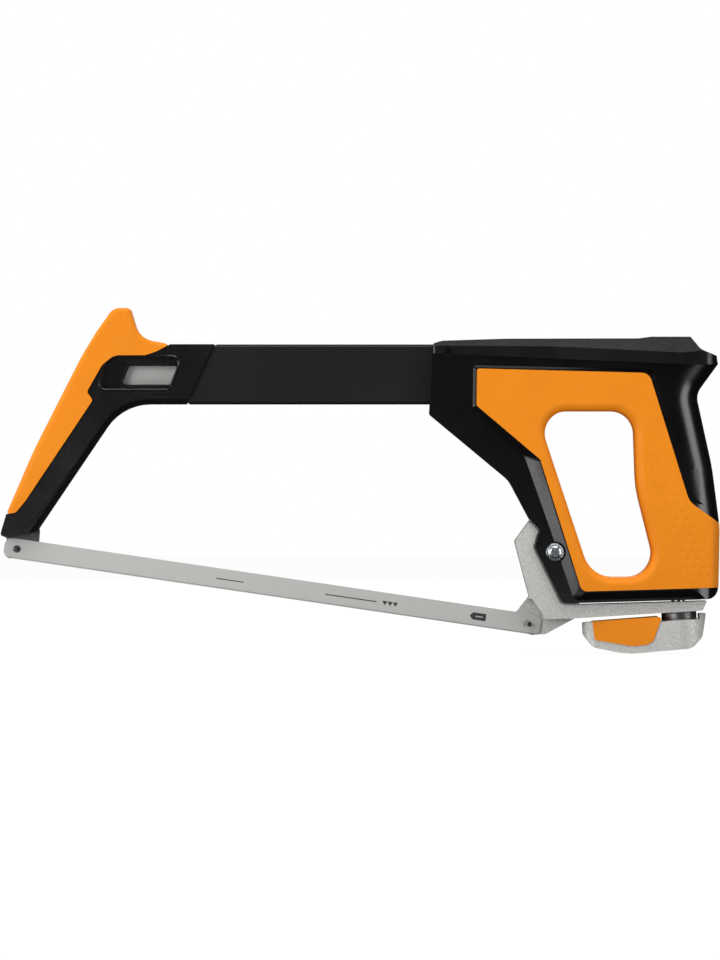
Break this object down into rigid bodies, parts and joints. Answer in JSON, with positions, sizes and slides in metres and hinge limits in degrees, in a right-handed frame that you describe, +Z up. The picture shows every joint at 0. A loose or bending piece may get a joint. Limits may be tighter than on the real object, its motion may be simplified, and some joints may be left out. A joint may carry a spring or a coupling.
{
  "type": "hacksaw",
  "caption": "Hacksaw with a rectangular top tube, closed D handle with soft grip, cast tension arm and a screw knob that stretches the blade.",
  "frame": {"origin": "middle of the hand grip's bar", "axes": "+X along the saw from the front to the back of the hand, +Z up, +Y across to the side away from the bolt head"},
  "size_m": [0.417, 0.0376, 0.2002],
  "materials": {
    "handle_black": "glossy moulded plastic",
    "tube_black": "satin powder coat",
    "casting_black": "semi-gloss black coat on a casting",
    "grip_orange": "soft moulded grip",
    "cast_silver": "silver texture paint on a casting",
    "blade_grey": "light grey satin",
    "zinc": "bright zinc plating",
    "dark_steel": "dark blackened steel",
    "channel_grey": "matt",
    "bronze": "sintered"
  },
  "bodies": {
    "frame": {"top_tube": "tube_black", "blade_channel": "channel_grey", "front_frame": "casting_black", "front_grip": "grip_orange", "front_tang": "dark_steel", "front_blade_pin": "dark_steel", "handle_shell_left": "handle_black", "handle_shell_right": "handle_black", "grip_pad_left": "grip_orange", "grip_pad_right": "grip_orange", "top_cap": "handle_black", "handle_screws": "zinc", "tube_pin": "tube_black", "pivot_bolt": "zinc", "pivot_nut": "zinc", "tension_nut": "zinc"},
    "arm": {"tension_arm": "cast_silver", "pivot_bushing": "bronze", "rear_blade_pin": "dark_steel"},
    "washer": {"thrust_washer": "dark_steel"},
    "knob": {"tension_knob": "cast_silver", "knob_grip": "grip_orange", "tension_screw": "zinc", "retaining_ring": "dark_steel"},
    "blade": {"blade": "blade_grey"},
    "spare_blade": {"spare_blade": "blade_grey"}
  },
  "joints": [
    {"name": "screw_travel", "type": "slide", "parent": "frame", "child": "washer", "axis": [0.0619, 0, -0.9981], "range_m": [0, 0.00245]},
    {"name": "knob_turn", "type": "hinge", "parent": "washer", "child": "knob", "pos_m": [0.0016, 0, -0.0761], "axis": [0.0619, 0, -0.9981], "range_deg": [0, 703]},
    {"name": "arm_swing", "type": "hinge", "parent": "frame", "child": "arm", "pos_m": [-0.0707, 0, -0.0415], "axis": [0, 1, 0], "range_deg": [0, 2]},
    {"name": "blade_off_pins", "type": "slide", "parent": "frame", "child": "blade", "axis": [0, -1, 0], "range_m": [0, 0.02]},
    {"name": "spare_blade_slide", "type": "slide", "parent": "frame", "child": "spare_blade", "axis": [1, 0, 0], "range_m": [0, 0.008]}
  ],
  "couplings": [
    {"joint": "screw_travel", "follows": "knob_turn", "m_per_rad": 0.00019894},
    {"joint": "arm_swing", "follows": "knob_turn", "ratio": 0.0028413}
  ]
}
